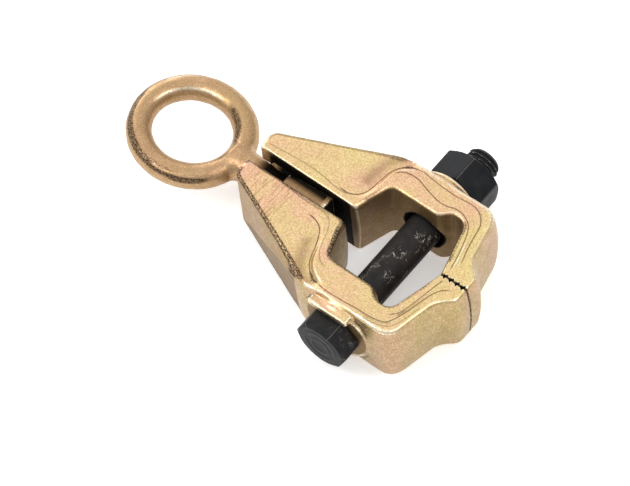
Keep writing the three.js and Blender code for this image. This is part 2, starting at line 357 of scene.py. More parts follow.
def ledge_field(x, y, z):
    """The bar over the bolt's head that stops it turning, scooped out along its top."""
    dx, dy, dz = (
        np.abs(value - middle) - half
        for value, middle, half in zip((x, y, z), LEDGE_MIDDLE, LEDGE_HALF_SIZE)
    )
    bar = round_max(round_max(dx, dy, 1.4), dz, 0.8)
    scoop = LEDGE_SCOOP_R - np.hypot(y - 46.0, z - 49.6 - 0.05 * (x + 14.5))
    return round_max(bar, scoop, 0.5)


def jaw_field(x, y, z, relief, with_ledge):
    """One half of the clamp's body, drawn on the positive side of the parting plane."""
    side = outline_distance(JAW_OUTLINE, x, y) - draft(x, z)
    top = np.abs(z - MID) - MID + relief.depth(x, y)
    solid = round_max(side, top, EDGE_R)
    slot = np.maximum(x - THROAT_REAR - 3, y - SLOT_HALF)
    solid = round_max(solid, -slot, 0.9)
    solid = round_min(solid, boss_field(x, y, z), 1.6)
    if with_ledge:
        solid = round_min(solid, ledge_field(x, y, z), 1.0)
    mouth = THROAT_Y - DRAFT
    flare = np.clip((mouth + HOLE_FLARE - y) / (HOLE_FLARE - 1), 0, 1)
    hole_r = HOLE_R + (HOLE_MOUTH_R - HOLE_R) * flare
    solid = round_max(solid, hole_r - np.hypot(x, z - MID), 0.6)
    pocket = np.maximum(outline_distance(POCKET_PLAN, x, y), np.abs(z - MID) - POCKET_HALF_HEIGHT)
    bore = np.maximum(np.hypot(y, z - MID) - BORE_R, x - BORE_FRONT)
    solid = round_max(solid, -np.minimum(pocket, bore), 0.5)
    solid = round_max(solid, PARTING - y, 0.35)
    for i in range(TOOTH_COUNT):
        rear = TOOTH_FIRST + i * TOOTH_PITCH + (TOOTH_OFFSET if with_ledge else 0)
        front = rear + TOOTH_PITCH * 0.86
        notch = np.array([(rear, -0.5), (front, -0.5), (rear + TOOTH_PITCH * 0.7, TOOTH_DEPTH)])
        solid = round_max(solid, -outline_distance(notch, x, y), 0.25)
    return solid


def eye_field(x, y, z):
    """The oval ring, its shank and the wedge head in one forging."""
    from_centre = x - RING_X
    k = np.hypot(from_centre / RING_LONG, y / RING_WIDE)
    slope = np.hypot(from_centre / RING_LONG ** 2, y / RING_WIDE ** 2)
    in_plan = k * (k - 1) / np.maximum(slope, 1e-4)
    ring = np.hypot(in_plan, z - MID) - RING_WIRE_R
    shank = np.hypot(y, z - MID) - np.interp(x, SHANK_STATIONS, SHANK_RADII)
    ends = np.maximum(SHANK_STATIONS[0] - x, x - SHANK_STATIONS[-1])
    shank = round_max(shank, ends, 2.0)
    plan = np.array([(WEDGE_REAR, -4.0), (WEDGE_FRONT, -5.6), (WEDGE_FRONT, 5.6), (WEDGE_REAR, 4.0)])
    wedge = round_max(
        outline_distance(plan, x, y),
        np.abs(z - MID) - WEDGE_HALF_HEIGHT,
        1.1 + 1.9 * ramp(WEDGE_REAR + 9, WEDGE_REAR, x),
    )
    return round_min(round_min(ring, shank, 2.6), wedge, 1.2)


# ---- meshing -------------------------------------------------------------------------------------
def surface_net(field, axes):
    """The zero surface of a field sampled on a grid: one point in each crossed cell, and quads."""
    inside = field < 0
    nx, ny, nz = (length - 1 for length in inside.shape)
    counts = sum(
        inside[i:nx + i, j:ny + j, k:nz + k].astype(np.int8)
        for i in (0, 1) for j in (0, 1) for k in (0, 1)
    )
    active = (counts > 0) & (counts < 8)
    number = np.full(active.shape, -1, np.int64)
    cells = np.argwhere(active)
    number[active] = np.arange(len(cells))
    total = np.zeros((len(cells), 3))
    hits = np.zeros(len(cells))
    for axis in range(3):
        others = [a for a in range(3) if a != axis]
        for p in (0, 1):
            for q in (0, 1):
                low = cells.copy()
                low[:, others[0]] += p
                low[:, others[1]] += q
                high = low.copy()
                high[:, axis] += 1
                f0 = field[tuple(low.T)]
                f1 = field[tuple(high.T)]
                cut = (f0 < 0) != (f1 < 0)
                t = np.where(cut, f0 / np.where(cut, f0 - f1, 1), 0)
                point = np.stack([axes[a][low[:, a]] for a in range(3)], 1)
                point[:, axis] += t * (axes[axis][high[:, axis]] - axes[axis][low[:, axis]])
                total += np.where(cut[:, None], point, 0)
                hits += cut
    quads = []
    for axis in range(3):
        u, v = (axis + 1) % 3, (axis + 2) % 3
        low = np.argwhere(np.diff(inside, axis=axis))
        starts_inside = inside[tuple(low.T)]
        ring = []
        for du, dv in ((-1, -1), (0, -1), (0, 0), (-1, 0)):
            cell = low.copy()
            cell[:, u] += du
            cell[:, v] += dv
            ring.append(number[tuple(cell.T)])
        faces = np.stack(ring, 1)
        quads.append(np.where(starts_inside[:, None], faces, faces[:, ::-1]))
    return total / hits[:, None], np.concatenate(quads)


def gradient(function, points, step=0.04):
    """A field's value and slopes at each point."""
    x, y, z = points.T
    value = function(x, y, z)
    slopes = np.stack([
        function(x + step, y, z) - value,
        function(x, y + step, z) - value,
        function(x, y, z + step) - value,
    ], 1) / step
    return value, slopes


def unevenness(points, size, amount):
    """A gentle, repeatable swell over the surface, as a forging has."""
    total = np.zeros(len(points))
    for i in range(7):
        turn = 2.4 * i
        direction = np.array([math.cos(turn), math.sin(turn), math.cos(1.7 * turn)])
        wavelength = size * (0.7 + 0.13 * i)
        total += np.sin(points @ direction * 2 * math.pi / wavelength + 1.9 * i)
    return total * amount / 7


def convexity(points, quads, normals):
    """How sharply the surface turns outwards at each point, 0 where flat, smoothed over neighbours."""
    a = np.concatenate([quads[:, 0], quads[:, 1], quads[:, 2], quads[:, 3]])
    b = np.concatenate([quads[:, 1], quads[:, 2], quads[:, 3], quads[:, 0]])
    degree = np.bincount(a, minlength=len(points)) + np.bincount(b, minlength=len(points))

    def average(values):
        total = np.bincount(a, values[b], len(points)) + np.bincount(b, values[a], len(points))
        return total / np.maximum(degree, 1)

    middle = np.stack([average(points[:, i]) for i in range(3)], 1)
    bend = ((points - middle) * normals).sum(1)
    for _ in range(4):
        bend = (bend + average(bend)) / 2
    return bend


def steps(*stops):
    """Grid lines between stops, given as position, spacing, position, spacing, position."""
    lines = [np.array([stops[0]], float)]
    for i in range(1, len(stops), 2):
        low, spacing, high = stops[i - 1], stops[i], stops[i + 1]
        count = max(1, round((high - low) / spacing))
        lines.append(low + (high - low) * np.arange(1, count + 1) / count)
    return np.concatenate(lines)


def make_mesh(name, points, faces, attributes):
    """A Blender mesh object from points in the drawing's millimetres, with a value at each point."""
    mesh = bpy.data.meshes.new(name)
    mesh.from_pydata((points * MM + ORIGIN).tolist(), [], [list(face) for face in faces])
    mesh.update()
    for key, values in attributes.items():
        layer = mesh.attributes.new(key, "FLOAT", "POINT")
        layer.data.foreach_set("value", np.ascontiguousarray(values, dtype=np.float32))
    mesh.shade_smooth()
    piece = bpy.data.objects.new(name, mesh)
    bpy.context.scene.collection.objects.link(piece)
    return piece


SHARP_BEND = 0.016  # convexity that counts as 1 in the bend attribute


def forging(name, function, axes, marks, mirrored=False, swell=0.07):
    """A forged piece: the surface of a field, settled on it exactly and made slightly uneven."""
    field = function(axes[0][:, None, None], axes[1][None, :, None], axes[2][None, None, :])
    points, quads = surface_net(field, axes)
    value, slopes = gradient(function, points)
    correction = np.clip(value / np.maximum((slopes ** 2).sum(1), 0.3), -0.3, 0.3)
    points = points - correction[:, None] * slopes
    normals = slopes / np.maximum(np.linalg.norm(slopes, axis=1), 1e-6)[:, None]
    bend = convexity(points, quads, normals) / SHARP_BEND
    attributes = marks(points, normals, bend)
    rise = unevenness(points, 13, swell) + unevenness(points, 5, swell * 0.35)
    points = points + normals * rise[:, None]
    if mirrored:
        points = points * np.array([1, -1, 1])
        quads = quads[:, ::-1]
    return make_mesh(name, points, quads.tolist(), attributes)


# ---- fasteners, built ring by ring ---------------------------------------------------------------
BOLT_CORNER = 24  # direction of one corner of the bolt's head, in degrees from +Z towards +X
NUT_CORNER = 6  # and of one corner of the nut
CORNER_EASE = 1  # columns this many degrees either side of a corner round it off
NEAR_CORNERS = [
    corner + side + np.arange(0, 360, 60)
    for corner in (BOLT_CORNER, NUT_CORNER)
    for side in (-CORNER_EASE, CORNER_EASE)
]
TURN = np.radians(np.unique(np.concatenate([np.arange(0, 360, 3), *NEAR_CORNERS])))
COLUMNS = len(TURN)


def ring_at(radius, y):
    """One ring of points about the bolt's axis. Angles run from +Z towards +X."""
    radius = np.broadcast_to(radius, TURN.shape)
    height = np.broadcast_to(y, TURN.shape)
    return np.stack([radius * np.sin(TURN), height, MID + radius * np.cos(TURN)], 1)


def skin(rings, closed):
    """Points and faces over a row of rings. An open row is capped at both ends."""
    points = np.concatenate(rings)
    count = len(rings)
    faces = []
    for i in range(count if closed else count - 1):
        a = i * COLUMNS
        b = (i + 1) % count * COLUMNS
        for j in range(COLUMNS):
            k = (j + 1) % COLUMNS
            faces.append((a + j, a + k, b + k, b + j))
    if not closed:
        for ring, flip in ((0, True), (count - 1, False)):
            centre = len(points)
            points = np.vstack([points, rings[ring].mean(0)])
            for j in range(COLUMNS):
                k = (j + 1) % COLUMNS
                pair = (ring * COLUMNS + j, ring * COLUMNS + k)
                faces.append((centre, pair[1], pair[0]) if flip else (centre, *pair))
    return points, faces


def hexagon_radius(across_flats, corner_degrees):
    """Distance from the axis to a hexagon's side in each direction, with its corners eased."""
    offset = (np.degrees(TURN) - corner_degrees) % 60 - 30
    radius = across_flats / 2 / np.cos(np.radians(offset))
    return np.minimum(radius, across_flats / math.sqrt(3) * 0.985)


def thread_radius(y, clearance=0.0):
    """The thread's surface at a height: a right-hand helix with a narrow crest and a flat root."""
    phase = (y / PITCH - TURN / (2 * math.pi)) % 1
    flank = np.abs(phase - 0.5) * 2
    depth = THREAD_DEPTH * np.clip((1 - flank) / 0.84, 0, 1) ** 0.9
    return BOLT_R + clearance - depth


# The turning marks on the head's face: radius, and depth below the face.
HEAD_FACE = (
    (2, 0.16), (4.6, 0.16), (4.9, 0.03), (5.7, 0.03), (6.0, 0.16),
    (8.9, 0.14), (9.2, 0.02), (10.2, 0.02), (10.5, 0.12),
)


def bolt_rings():
    """The hexagon bolt, from its head's face to the threaded tip."""
    hexagon = hexagon_radius(HEAD_FLATS, BOLT_CORNER)
    face_y = BOLT_FACE_Y
    tip_y = drawn(BOLT_HIGH)[1]
    seat = -SEAT_Y
    circle = HEAD_FLATS / 2 * 0.955
    slope = math.tan(math.radians(30))
    shoulder = face_y + (hexagon - circle) * slope
    rings = [ring_at(r, face_y + sunk) for r, sunk in HEAD_FACE]
    rings += [ring_at(circle - 0.5, face_y + 0.06), ring_at(circle, face_y + 0.05)]
    for share in (0.15, 0.85):
        out = (hexagon - circle) * share
        rings += [ring_at(circle + out, face_y + out * slope)]
    rings += [ring_at(hexagon - 0.06, shoulder + 0.06), ring_at(hexagon, shoulder + 0.35)]
    rings += [ring_at(hexagon, shoulder + (seat - 0.5 - shoulder) * t) for t in (0.3, 0.6)]
    rings += [ring_at(hexagon, seat - 0.4), ring_at(hexagon - 0.12, seat - 0.1)]
    rings += [ring_at(hexagon - 0.4, seat), ring_at(BOLT_R + 2, seat), ring_at(BOLT_R + 0.9, seat)]
    rings += [ring_at(BOLT_R + 0.25, seat + 0.28), ring_at(BOLT_R, seat + 0.9)]
    thread_end = tip_y - 2.2
    thread_start = thread_end - THREAD_TURNS * PITCH
    rings += [ring_at(BOLT_R, y) for y in np.linspace(seat + 3, thread_start - 0.5, 30)]
    for y in np.arange(thread_start, thread_end + 1.9, 0.23):
        run_out = ramp(thread_start, thread_start + 2 * PITCH, y)
        radius = BOLT_R - (BOLT_R - thread_radius(y)) * run_out
        chamfer = BOLT_R - 0.25 - (y - thread_end) * 0.78
        rings.append(ring_at(np.minimum(radius, chamfer), y))
    rings += [ring_at(BOLT_R - 2.0, tip_y - 0.12), ring_at(BOLT_R - 2.3, tip_y), ring_at(3, tip_y)]
    return rings


def nut_rings():
    """The heavy nut, round its outside and back along its threaded bore."""
    hexagon = hexagon_radius(NUT_FLATS, NUT_CORNER)
    low = SEAT_Y
    high = drawn(NUT_HIGH)[1]
    circle = NUT_FLATS / 2 * 0.945
    slope = math.tan(math.radians(33))
    drop = (hexagon - circle) * slope
    mouth = BOLT_R + 1.1
    rings = [ring_at(r, low) for r in (mouth, 13, circle - 0.3)] + [ring_at(circle, low + 0.08)]
    rings += [ring_at(hexagon - 0.08, low + drop), ring_at(hexagon, low + drop + 0.35)]
    for share in (0.25, 0.5, 0.75):
        rings += [ring_at(hexagon, low + drop + (high - low - 2 * drop) * share)]
    rings += [ring_at(hexagon, high - drop - 0.35), ring_at(hexagon - 0.08, high - drop)]
    rings += [ring_at(circle, high - 0.08)] + [ring_at(r, high) for r in (circle - 0.3, 13, mouth)]
    for y in np.arange(high - 0.25, low + 0.2, -0.25):
        from_end = min(y - low, high - y)
        rings.append(ring_at(np.maximum(thread_radius(y, 0.18), mouth - from_end * 0.8), y))
    return rings


# ---- materials -----------------------------------------------------------------------------------
class Nodes:
    """A material's node tree with short calls to add to it."""

    def __init__(self, name):
        self.material = bpy.data.materials.new(name)
        self.material.use_nodes = True
        self.tree = self.material.node_tree
        self.shader = self.tree.nodes["Principled BSDF"]
        self.place = self.add("ShaderNodeTexCoord").outputs["Object"]

    def add(self, kind, **settings):
        node = self.tree.nodes.new(kind)
        for key, value in settings.items():
            setattr(node, key, value)
        return node

    def feed(self, socket, value):
        if isinstance(value, bpy.types.NodeSocket):
            self.tree.links.new(value, socket)
        else:
            socket.default_value = value

    def stretched(self, scale):
        node = self.add("ShaderNodeMapping")
        self.feed(node.inputs["Vector"], self.place)
        node.inputs["Scale"].default_value = scale
        return node.outputs["Vector"]

    def noise(self, scale, detail=3.0, roughness=0.55, distortion=0.0, vector=None):
        node = self.add("ShaderNodeTexNoise")
        self.feed(node.inputs["Vector"], vector or self.place)
        node.inputs["Scale"].default_value = scale
        node.inputs["Detail"].default_value = detail
        node.inputs["Roughness"].default_value = roughness
        node.inputs["Distortion"].default_value = distortion
        return node.outputs["Fac"]

    def ramp(self, value, stops):
        node = self.add("ShaderNodeValToRGB")
        self.feed(node.inputs["Fac"], value)
        elements = node.color_ramp.elements
        while len(elements) < len(stops):
            elements.new(0.5)
        for element, (position, colour) in zip(elements, stops):
            element.position = position
            element.color = (*colour, 1)
        return node.outputs["Color"]

    def span(self, value, low, high, to_low=0.0, to_high=1.0):
        node = self.add("ShaderNodeMapRange")
        self.feed(node.inputs["Value"], value)
        limits = {"From Min": low, "From Max": high, "To Min": to_low, "To Max": to_high}
        for key, limit in limits.items():
            node.inputs[key].default_value = limit
        return node.outputs["Result"]

    def math(self, operation, a, b=0.0):
        node = self.add("ShaderNodeMath", operation=operation)
        self.feed(node.inputs[0], a)
        self.feed(node.inputs[1], b)
        return node.outputs["Value"]

    def mix(self, factor, a, b, blend="MIX"):
        node = self.add("ShaderNodeMix", data_type="RGBA", blend_type=blend)
        self.feed(node.inputs["Factor"], factor)
        for socket, value in ((node.inputs[6], a), (node.inputs[7], b)):
            self.feed(socket, (*value, 1) if isinstance(value, tuple) else value)
        return node.outputs[2]

    def attribute(self, name):
        return self.add("ShaderNodeAttribute", attribute_name=name).outputs["Fac"]

    def bump(self, height, distance, strength, below=None):
        node = self.add("ShaderNodeBump")
        self.feed(node.inputs["Height"], height)
        node.inputs["Distance"].default_value = distance
        node.inputs["Strength"].default_value = strength
        if below is not None:
            self.feed(node.inputs["Normal"], below)
        return node.outputs["Normal"]


def gold_plate(name, depth):
    """Yellow zinc plate. Depth darkens its colours, as on a heavier coat."""
    n = Nodes(name)
    patches = n.noise(34, 2.5, 0.5, 0.6, n.stretched((1, 1, 0.35)))
    flat_colour = n.ramp(patches, [
        (0.34, (0.75, 0.43, 0.29)),
        (0.45, (0.74, 0.46, 0.28)),
        (0.54, (0.74, 0.50, 0.27)),
        (0.62, (0.70, 0.54, 0.24)),
        (0.70, (0.76, 0.45, 0.30)),
    ])
    # Painted shade: the sides take a darker copy of the plate's colour, mixed in by how little the
    # surface faces up or down.
    shaded_side_colour = n.ramp(n.noise(48, 2, 0.5, 0.4, n.stretched((1, 1, 0.12))), [
        (0.34, (0.37, 0.23, 0.13)),
        (0.46, (0.36, 0.255, 0.11)),
        (0.56, (0.35, 0.275, 0.095)),
        (0.66, (0.37, 0.24, 0.125)),
    ])
    yellow = n.math("MULTIPLY", n.attribute("yellow"), n.span(patches, 0.3, 0.6, 0.3, 0.8))
    flat_colour = n.mix(yellow, flat_colour, (0.72, 0.60, 0.24))
    flat_colour = n.mix(depth, flat_colour, (0.36, 0.20, 0.09))
    shaded_side_colour = n.mix(depth, shaded_side_colour, (0.36, 0.20, 0.10))
    upward = n.add("ShaderNodeSeparateXYZ")
    n.feed(upward.inputs["Vector"], n.add("ShaderNodeTexCoord").outputs["Normal"])
    level = n.span(n.math("ABSOLUTE", upward.outputs["Z"]), 0.35, 0.85)
    colour = n.mix(level, shaded_side_colour, flat_colour)
    blotches = n.noise(160, 4, 0.6)
    colour = n.mix(n.span(blotches, 0.35, 0.7, 0.0, 0.3), colour, (0.78, 0.50, 0.31))
    grain = n.noise(1250, 2, 0.75)
    colour = n.mix(n.span(grain, 0.48, 0.66, 0.0, 0.55), colour, (0.42, 0.27, 0.13))
    colour = n.mix(n.span(grain, 0.48, 0.34, 0.0, 0.45), colour, (0.97, 0.82, 0.55))
    scratches = n.noise(1100, 2, 0.6, 0.5, n.stretched((1, 0.09, 0.3)))
    scratched = n.math("MULTIPLY", n.attribute("scratched"), n.span(scratches, 0.53, 0.59))
    colour = n.mix(n.math("MULTIPLY", scratched, 0.62), colour, (0.36, 0.21, 0.09))
    colour = n.mix(0.45 * depth, colour, (0.34, 0.22, 0.10))
    # Painted shade from the painted shade attribute: brown on the walls in the throat and slot, on the
    # boss face, the wing's lower facet and the valley slope, near black in the bore, the hole and deep
    # in the slot.
    painted_shade = n.attribute("painted_shade")
    colour = n.mix(n.span(painted_shade, 0.0, 1.0, 0.0, 0.72), colour, (0.20, 0.115, 0.048))
    colour = n.mix(n.span(painted_shade, 1.0, 1.9), colour, (0.018, 0.013, 0.009))
    # Convex edges go cream where the bend attribute is high: partly wear, partly painted highlights,
    # with painted glints along the valley and throat lines.
    bend = n.attribute("bend")
    grit = n.noise(1350, 2, 0.65)
    edge = n.span(bend, 0.6, 1.2)
    wear_and_light = n.math("MULTIPLY", edge, n.span(grit, 0.34, 0.52, 0.35, 1.0))
    colour = n.mix(n.math("MULTIPLY", wear_and_light, 0.7), colour, (0.97, 0.90, 0.70))
    pitted = n.math("MULTIPLY", edge, n.span(grit, 0.42, 0.34, 0.0, 0.7))
    colour = n.mix(pitted, colour, (0.16, 0.10, 0.05))
    # Painted shade, speckled: creases and the edges that the marks make negative go near black.
    gritty = n.span(grit, 0.60, 0.44, 0.35, 1.0)
    gritty_shade = n.math("MULTIPLY", n.span(bend, -0.25, -1.0), gritty)
    colour = n.mix(gritty_shade, colour, (0.045, 0.028, 0.018))
    # Painted shade along the contour steps: a thin dark line at each die line.
    contour = n.attribute("contour")
    line = n.span(n.math("ABSOLUTE", contour), 0.46, 0.16)
    line = n.math("MULTIPLY", line, n.attribute("line"))
    line = n.math("MULTIPLY", line, n.span(grit, 0.3, 0.55, 0.65, 1.0))
    colour = n.mix(line, colour, (0.11, 0.06, 0.03))
    n.feed(n.shader.inputs["Base Color"], colour)
    n.shader.inputs["Metallic"].default_value = 0.9
    roughness = n.span(n.noise(220, 4, 0.65), 0.3, 0.7, 0.30, 0.46)
    shade_and_dullness = n.math("ADD", roughness, n.math("MULTIPLY", painted_shade, 0.15))
    n.feed(n.shader.inputs["Roughness"], n.math("SUBTRACT", shade_and_dullness, n.math("MULTIPLY", wear_and_light, 0.1)))
    cast = n.bump(n.noise(260, 3, 0.5), 0.0004, 0.4)
    n.feed(n.shader.inputs["Normal"], n.bump(grain, 0.00012, 0.6, cast))
    return n.material


def black_oxide():
    """Black oxide, with curls of bare metal where it wears, a painted sheen on the bolt's upper side and
    painted highlights on the corners and the thread's crests.
    """
    n = Nodes("black_oxide")
    patches = n.noise(120, 3, 0.6, 0.4)
    colour = n.ramp(patches, [
        (0.30, (0.009, 0.010, 0.012)),
        (0.55, (0.015, 0.016, 0.018)),
        (0.75, (0.026, 0.025, 0.024)),
    ])
    # Painted sheen: a lighter brown-grey on the bolt's upper side, where the light falls, by the same
    # attribute that places the wear and the painted highlights.
    upper_sheen = n.math("MULTIPLY", n.attribute("rubbed_and_sheen"), n.span(patches, 0.35, 0.65, 0.25, 0.75))
    colour = n.mix(upper_sheen, colour, (0.040, 0.034, 0.031))
    # Curls of bare metal from wear, placed by that attribute.
    scuffs = n.noise(360, 3, 0.7, 1.6, n.stretched((1, 0.7, 1)))
    zones = n.span(n.noise(95, 2, 0.5), 0.52, 0.60)
    curls = n.span(n.math("ABSOLUTE", n.math("SUBTRACT", scuffs, 0.58)), 0.020, 0.006)
    rubbed_and_sheen = n.math("MULTIPLY", curls, n.math("MULTIPLY", zones, n.attribute("rubbed_and_sheen")))
    colour = n.mix(n.math("MULTIPLY", rubbed_and_sheen, 0.85), colour, (0.72, 0.67, 0.60))
    # Painted highlights on the hexagons' corners and the thread's crests, where the attribute passes 1.
    colour = n.mix(n.span(n.attribute("rubbed_and_sheen"), 1.0, 1.8, 0.0, 0.55), colour, (0.40, 0.37, 0.34))
    grain = n.noise(1700, 2, 0.6)
    n.feed(n.shader.inputs["Base Color"], colour)
    n.shader.inputs["Metallic"].default_value = 0.05
    n.shader.inputs["Specular IOR Level"].default_value = 0.1
    n.feed(n.shader.inputs["Roughness"], n.span(patches, 0.3, 0.7, 0.36, 0.55))
    n.feed(n.shader.inputs["Normal"], n.bump(grain, 0.00008, 0.5, n.bump(scuffs, 0.0001, 0.3)))
    return n.material


# ---- the pieces ----------------------------------------------------------------------------------
def finish_piece(piece, body, node, material):
    """Material in the mesh's slot, body, and the CAD node that it replaces."""
    piece.data.materials.append(material)
    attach(piece, body)
    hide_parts(node)


def build_jaws(material):
    axes = (
        steps(-91.5, 0.55, 30.5, 0.36, 50.5),
        steps(-0.9, 0.34, 3.2, 0.55, 53.0),
        steps(-0.9, 0.4, 4.0, 1.0, MID, 1.0, JAW_HEIGHT - 7.0, 0.4, JAW_HEIGHT + 0.9),
    )
    for name, body, lines, with_ledge in (
        ("nut_side_jaw_forging", "nut_side_jaw", NUT_SIDE_RELIEF, False),
        ("head_side_jaw_forging", "head_side_jaw", HEAD_SIDE_RELIEF, True),
    ):
        relief = Relief(lines)

        def field(x, y, z):
            return jaw_field(x, y, z, relief, with_ledge)

        def marks(points, normals, bend):
            """Edge wear mixed with painted highlights and painted shade on edges, contour lines, and
            painted shade on the walls of the throat, slot, bore and hole, the boss face, the wing's
            lower facet and the valley slope.
            """
            x, y, z = points.T
            upright = 1 - ramp(0.5, 0.85, np.abs(normals[:, 2]))
            in_throat = (x > THROAT_REAR - 3) & (x < 33) & (y < 32.6)
            in_slot = (x <= THROAT_REAR - 3) & (y < 8.2)
            from_axis = np.hypot(x, z - MID)
            in_hole = (from_axis < HOLE_MOUTH_R + 0.5) & (y < SIDE_Y)
            # Tone turns the convex edges into painted light: 1 for wear with a painted highlight, 0.6 on
            # the nut-side jaw's throat and slot edges, which face the light; negative for painted shade
            # on the head-side jaw's throat and slot edges, which face away, at the nose's inner end and
            # along the parting seam between the jaws; 0 round the hole and inside the slot.
            tone = np.where(in_throat | in_slot, -0.75 if with_ledge else 0.6, 1)
            tone = np.where((from_axis < HOLE_MOUTH_R + 3) & (y < SIDE_Y), 0, tone)
            tone = np.where(in_slot & (np.abs(z - MID) < MID - 3), 0, tone)
            tone = np.where(in_throat & (x > 22), -0.75, tone)
            tone = np.where((y < 0.8) & (x > 30), -1.2, tone)
            tone = tone * (1 - ramp(-20, -26, x) * ramp(8, 12, y))
            wear_and_light = bend * tone
            on_ledge = with_ledge & (y > 37) & (np.abs(x - LEDGE_MIDDLE[0]) < 14) & (z > 36.5)
            wear_and_light = np.where(on_ledge, np.maximum(0.8 * wear_and_light, -0.1), wear_and_light)
            # Painted shade: a dark band on the wing's rounded outer rim, stronger on the head-side jaw,
            # and under the nose's rounded edges. Painted highlights: glints along the valley step and,
            # on the nut-side jaw, beside the throat line.
            inset = outline_distance(JAW_OUTLINE, x, y)
            facing = np.abs(normals[:, 2])
            at_rim = np.abs(z - MID) > MID - 8
            rim_shade = ramp(-2.6, -1.7, inset) * ramp(0.28, 0.5, facing) * ramp(8, 12, y) * ramp(-19, -25, x)
            rim_shade = rim_shade * at_rim * (1.5 if with_ledge else 0.7)
            under_nose = ramp(0.12, 0.3, facing) * ramp(0.8, 0.6, facing) * ramp(33, 38, x) * at_rim
            painted_glint = 0.9 * relief.streak("valley", x, y, -1.1, 0.75, 0.3, 0.95)
            if not with_ledge:
                painted_glint = painted_glint + 1.2 * relief.streak("throat", x, y, 0.9, 0.5, 0.7, 1.0)
            wear_and_light = wear_and_light - rim_shade - 1.1 * under_nose + 1.3 * painted_glint * (1 - upright)
            # Painted shade on the wing's side below its ridge, the lower facet.
            wing = ramp(THROAT_REAR + 1, THROAT_REAR - 2, x) * upright * (y > 12)
            below = wing * ramp(0, -2, z - wing_ridge(x))
            wear_and_light = wear_and_light - 0.55 * below
            # Painted shade mask, the painted shade attribute: the throat and slot walls, the bore, the
            # bolt hole, the boss face round the head or nut, the wing's lower facet and the valley's
            # slope in front of the wing plate.
            in_bore = (x < BORE_FRONT + 1) & (np.hypot(y, z - MID) < BORE_R + 0.4)
            inside = (in_slot & (np.abs(z - MID) < MID - 4)) | in_bore
            deep = ramp(TIP_X + 2, TIP_X + 9, x)
            boss_face = (from_axis < BOSS_R - 1.5) & (y > SIDE_Y + 1.5) & (z < JAW_HEIGHT - 6)
            slope = relief.streak("valley", x, y, 5.0, 3.0, 0.3, 1.0) * (1 - upright)
            walls = (0.5 if with_ledge else 0.85) * in_throat + 1.9 * in_slot * deep
            shade_and_dullness = np.maximum(upright * walls, 2.0 * inside * deep)
            shade_and_dullness = np.maximum(shade_and_dullness, 2.0 * in_hole)
            shade_and_dullness = np.maximum(shade_and_dullness, np.maximum(0.52 * wing + 0.36 * below, 1.1 * boss_face))
            shade_and_dullness = np.maximum(shade_and_dullness, 0.62 * slope)
            distance, strength = relief.contour(x, y)
            if with_ledge:
                yellow = 0.6 * ramp(26, 36, x)
            else:
                yellow = np.maximum(ramp(-30, -45, x), ramp(18, 30, x))
            on_plate = ramp(-50, -62, x) * ramp(-87, -80, x)
            # The bend attribute holds edge wear together with the painted highlights and painted shade
            # above.
            return {
                "bend": wear_and_light,
                "contour": distance,
                "line": strength * (1 - upright),
                "painted_shade": shade_and_dullness,
                "yellow": yellow,
                "scratched": (0.9 if with_ledge else 0.35) * (1 - upright) * on_plate,
            }

        piece = forging(name, field, axes, marks, mirrored=with_ledge)
        finish_piece(piece, body, body, material)


def build_eye(material):
    axes = (
        steps(drawn(EYE_LOW)[0] - 1.2, 0.48, WEDGE_FRONT + 1.2),
        steps(-34.6, 0.48, 34.6),
        steps(MID - 16.4, 0.48, MID + 16.4),
    )

    def marks(points, normals, bend):
        """Painted highlight and painted shade bands round the ring, the dark ones gritty. The shank and
        wedge head get painted shade between the jaws, with a painted highlight on the wedge's front cap.
        """
        x, y, z = points.T
        angle = np.arctan2(y, x - RING_X)
        around = np.degrees(angle)
        outward = normals[:, 0] * np.cos(angle) + normals[:, 1] * np.sin(angle)
        tilt = np.degrees(np.arctan2(np.abs(normals[:, 2]), outward))
        on_ring = ramp(RING_X + RING_LONG + 2, RING_X + RING_LONG - 8, x)
        # Edge wear with painted highlights, then bands of painted highlight and painted shade round the
        # ring that stand in for the light on its flattened section; the dark bands are gritty.
        wear_and_light = 0.4 * bend
        for direction, reach, lean, width, strength in RING_BANDS:
            off = np.abs((around - direction + 180) % 360 - 180)
            across = np.exp(-((tilt - lean) / width) ** 2)
            wear_and_light = wear_and_light + strength * on_ring * ramp(reach, reach * 0.5, off) * across
        # Painted shade on the shank and wedge head between the jaws, deepest on their hidden sides and
        # ends; the wedge's front cap is left out of it and gets a painted highlight instead.
        in_slot = ramp(TIP_X - 3, TIP_X + 6, x)
        end_cap = ramp(WEDGE_FRONT - 3, WEDGE_FRONT - 2, x) * ramp(0.15, 0.4, np.abs(normals[:, 2]))
        away = ramp(-1.5, 3.5, y)
        rear = ramp(WEDGE_REAR + 2, WEDGE_REAR - 1, x)
        front = ramp(WEDGE_FRONT - 1.5, WEDGE_FRONT - 0.6, x)
        hidden = np.maximum(np.maximum(away, rear), front)
        shade_and_dullness = in_slot * np.clip(0.55 + 1.5 * hidden - 2 * end_cap, 0, 2)
        return {"bend": wear_and_light + 0.75 * end_cap * ramp(2, -1, y), "painted_shade": shade_and_dullness}

    piece = forging("pull_eye_forging", eye_field, axes, marks, swell=0.16)
    finish_piece(piece, "pull_eye", "pull_eye", material)


